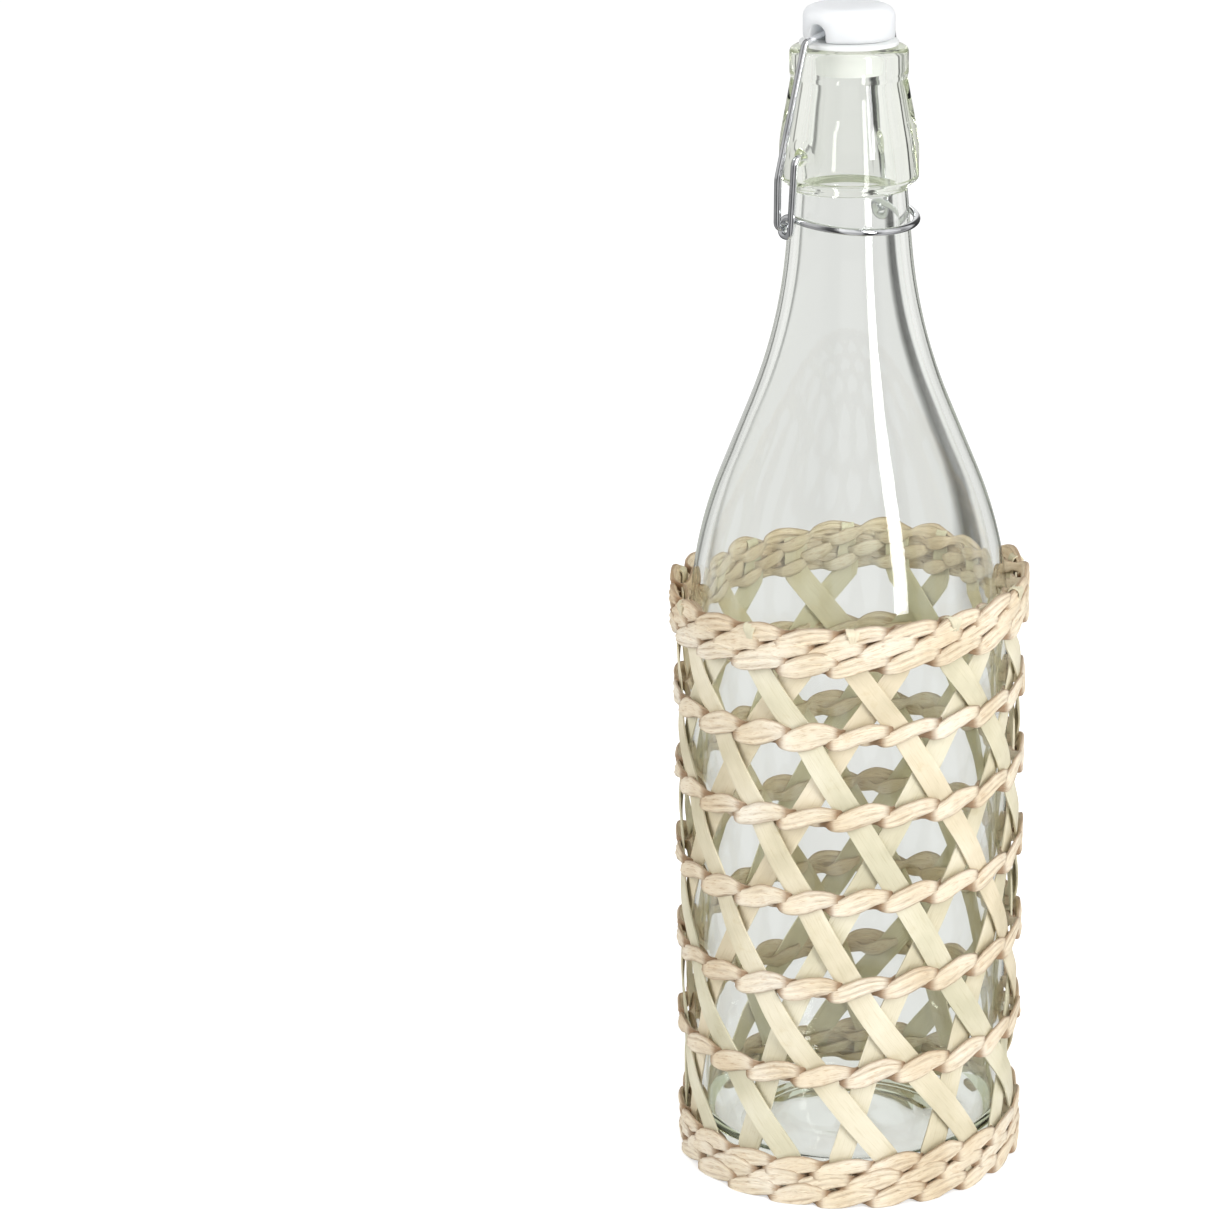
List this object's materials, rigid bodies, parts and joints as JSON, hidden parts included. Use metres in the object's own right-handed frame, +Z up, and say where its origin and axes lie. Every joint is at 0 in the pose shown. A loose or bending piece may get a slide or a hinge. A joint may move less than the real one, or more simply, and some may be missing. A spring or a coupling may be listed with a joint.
{
  "type": "swing-top glass bottle in a woven straw sleeve",
  "caption": "Clear glass swing-top bottle with a wire bail and lever closure, in an open-weave straw sleeve of leaning strips held by twined rows.",
  "frame": {"origin": "centre of the glass base, on the surface it stands on", "axes": "+Z up along the bottle's axis; the lever's pivot runs along X; the lever's thumb ring faces -Y"},
  "size_m": [0.0944, 0.0944, 0.3104],
  "materials": {
    "clear_glass": "clear, faint grey-green in the thick base and collar",
    "steel_wire": "bright drawn wire",
    "white_plastic": "milky white, soft gloss",
    "gasket_rubber": "translucent whitish, satin",
    "palm_strip": "pale greenish straw, smooth, fine lengthwise grain",
    "twined_rush": "warm cream rush, pleated and fibrous"
  },
  "bodies": {
    "bottle": {"glass_bottle": "clear_glass", "foot_row_1_strand_a": "twined_rush", "foot_row_1_strand_b": "twined_rush", "foot_row_2_strand_a": "twined_rush", "foot_row_2_strand_b": "twined_rush", "foot_row_3_strand_a": "twined_rush", "foot_row_3_strand_b": "twined_rush", "middle_row_1_strand_a": "twined_rush", "middle_row_1_strand_b": "twined_rush", "middle_row_2_strand_a": "twined_rush", "middle_row_2_strand_b": "twined_rush", "middle_row_3_strand_a": "twined_rush", "middle_row_3_strand_b": "twined_rush", "middle_row_4_strand_a": "twined_rush", "middle_row_4_strand_b": "twined_rush", "middle_row_5_strand_a": "twined_rush", "middle_row_5_strand_b": "twined_rush", "over_strip_01": "palm_strip", "over_strip_02": "palm_strip", "over_strip_03": "palm_strip", "over_strip_04": "palm_strip", "over_strip_05": "palm_strip", "over_strip_06": "palm_strip", "over_strip_07": "palm_strip", "over_strip_08": "palm_strip", "over_strip_09": "palm_strip", "over_strip_10": "palm_strip", "rim_row_1_strand_a": "twined_rush", "rim_row_1_strand_b": "twined_rush", "rim_row_2_strand_a": "twined_rush", "rim_row_2_strand_b": "twined_rush", "rim_row_3_strand_a": "twined_rush", "rim_row_3_strand_b": "twined_rush", "under_strip_01": "palm_strip", "under_strip_02": "palm_strip", "under_strip_03": "palm_strip", "under_strip_04": "palm_strip", "under_strip_05": "palm_strip", "under_strip_06": "palm_strip", "under_strip_07": "palm_strip", "under_strip_08": "palm_strip", "under_strip_09": "palm_strip", "under_strip_10": "palm_strip"},
    "lever": {"lever_wire": "steel_wire"},
    "bail": {"bail_wire": "steel_wire"},
    "closure": {"stopper": "white_plastic", "gasket": "gasket_rubber"}
  },
  "joints": [
    {"name": "lever_hinge", "type": "hinge", "parent": "bottle", "child": "lever", "pos_m": [0, 0, 0.2738], "axis": [-1, 0, 0], "range_deg": [0, 90]},
    {"name": "bail_hinge", "type": "hinge", "parent": "lever", "child": "bail", "pos_m": [0, 0.0041, 0.2558], "axis": [-1, 0, 0], "range_deg": [-56.7, 0]},
    {"name": "stopper_hinge", "type": "hinge", "parent": "bail", "child": "closure", "pos_m": [0, 0, 0.3039], "axis": [-1, 0, 0], "range_deg": [-33.3, 0]}
  ],
  "couplings": [
    {"joint": "bail_hinge", "follows": "lever_hinge", "ratio": -0.63},
    {"joint": "stopper_hinge", "follows": "lever_hinge", "ratio": -0.37}
  ]
}
